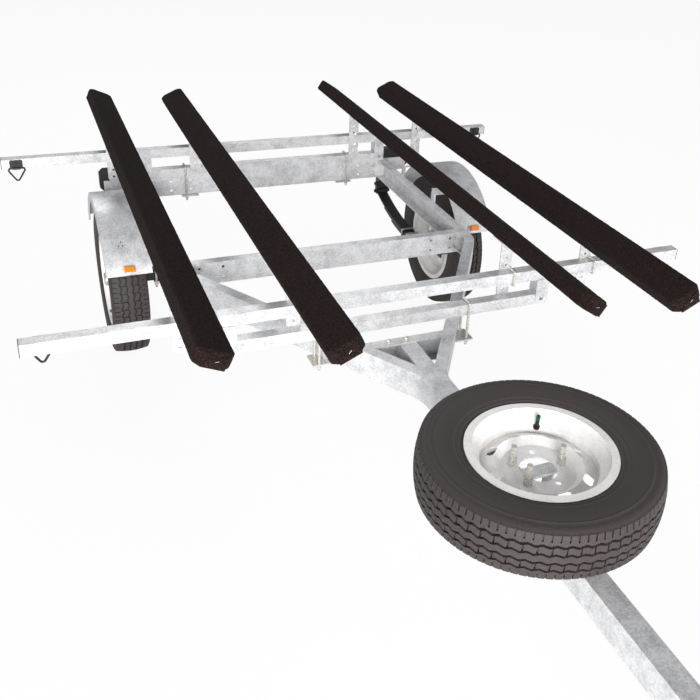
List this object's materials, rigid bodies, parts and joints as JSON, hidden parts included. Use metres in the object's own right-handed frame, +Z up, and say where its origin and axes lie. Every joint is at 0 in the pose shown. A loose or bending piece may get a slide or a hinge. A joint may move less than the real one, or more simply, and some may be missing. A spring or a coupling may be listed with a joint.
{
  "type": "kayak trailer",
  "caption": "Light boat trailer: galvanized channel frame on a single tongue, load bars on risers, carpeted V-cradle bunks, spare wheel and tongue jack.",
  "frame": {"origin": "on the floor below the middle of the whole length and width", "axes": "+X to the trailer's left side, +Y to its rear, +Z up"},
  "size_m": [1.9812, 3.962, 0.7647],
  "materials": {
    "galvanized": "hot-dip galvanized, faint spangle",
    "zinc_steel": "bright zinc plate",
    "hub_steel": "zinc plate",
    "black_steel": "satin black",
    "carpet": "matt needle-punched carpet",
    "tyre_rubber": "matt rubber",
    "wheel_paint": "satin silver-white",
    "black_plastic": "matt",
    "black_wire": "black coated wire",
    "red_lens": "moulded red lens",
    "amber_lens": "moulded amber lens",
    "roller_plastic": "matt"
  },
  "bodies": {
    "frame": {"axle": "black_steel", "axle_clamps": "zinc_steel", "bunk_inner_left": "carpet", "bunk_inner_right": "carpet", "bunk_outer_left": "carpet", "bunk_outer_right": "carpet", "bunk_straps_front": "galvanized", "bunk_straps_rear": "galvanized", "coupler": "zinc_steel", "coupler_latch": "zinc_steel", "crossmember_front": "galvanized", "crossmember_middle": "galvanized", "crossmember_rear": "galvanized", "fender_brackets": "galvanized", "fender_left": "galvanized", "fender_right": "galvanized", "jack_bracket": "zinc_steel", "leaf_spring_left": "black_steel", "leaf_spring_right": "black_steel", "load_bar_caps": "black_plastic", "load_bar_front": "galvanized", "load_bar_rear": "galvanized", "lower_tube_front": "galvanized", "lower_tube_rear": "galvanized", "rail_left": "galvanized", "rail_right": "galvanized", "risers_front": "galvanized", "risers_rear": "galvanized", "side_markers": "amber_lens", "spare_carrier": "galvanized", "spare_studs": "zinc_steel", "spare_tyre": "tyre_rubber", "spare_wheel": "wheel_paint", "spring_hangers": "black_steel", "strap_u_bolts_front": "zinc_steel", "strap_u_bolts_rear": "zinc_steel", "tail_lamp_housings": "black_plastic", "tail_lamp_lenses": "red_lens", "tail_lamp_plates": "galvanized", "tie_down_rings": "black_wire", "tie_down_saddles": "black_plastic", "tongue_tube": "galvanized", "tube_clamps_front": "zinc_steel", "tube_clamps_rear": "zinc_steel"},
    "road_wheel_left": {"hub_left": "hub_steel", "wheel_left": "wheel_paint", "tyre_left": "tyre_rubber"},
    "road_wheel_right": {"hub_right": "hub_steel", "wheel_right": "wheel_paint", "tyre_right": "tyre_rubber"},
    "jack_post": {"jack_leg": "zinc_steel", "jack_crank": "zinc_steel"},
    "jack_slide": {"jack_ram": "zinc_steel"},
    "jack_caster": {"jack_fork": "zinc_steel"},
    "jack_roller": {"jack_wheel": "roller_plastic"}
  },
  "joints": [
    {"name": "wheel_left_spin", "type": "hinge", "parent": "frame", "child": "road_wheel_left", "pos_m": [0.645, 1.215, 0.269], "axis": [1, 0, 0], "continuous": true},
    {"name": "wheel_right_spin", "type": "hinge", "parent": "frame", "child": "road_wheel_right", "pos_m": [-0.645, 1.215, 0.269], "axis": [1, 0, 0], "continuous": true},
    {"name": "jack_swing", "type": "hinge", "parent": "frame", "child": "jack_post", "pos_m": [-0.0943, -1.506, 0.469], "axis": [1, 0, 0], "range_deg": [0, 90]},
    {"name": "jack_lift", "type": "slide", "parent": "jack_post", "child": "jack_slide", "axis": [0, 0, -1], "range_m": [-0.11, 0.14]},
    {"name": "jack_swivel", "type": "hinge", "parent": "jack_slide", "child": "jack_caster", "pos_m": [-0.128, -1.506, 0.165], "axis": [0, 0, 1], "continuous": true},
    {"name": "jack_roll", "type": "hinge", "parent": "jack_caster", "child": "jack_roller", "pos_m": [-0.128, -1.484, 0.072], "axis": [1, 0, 0], "continuous": true}
  ]
}
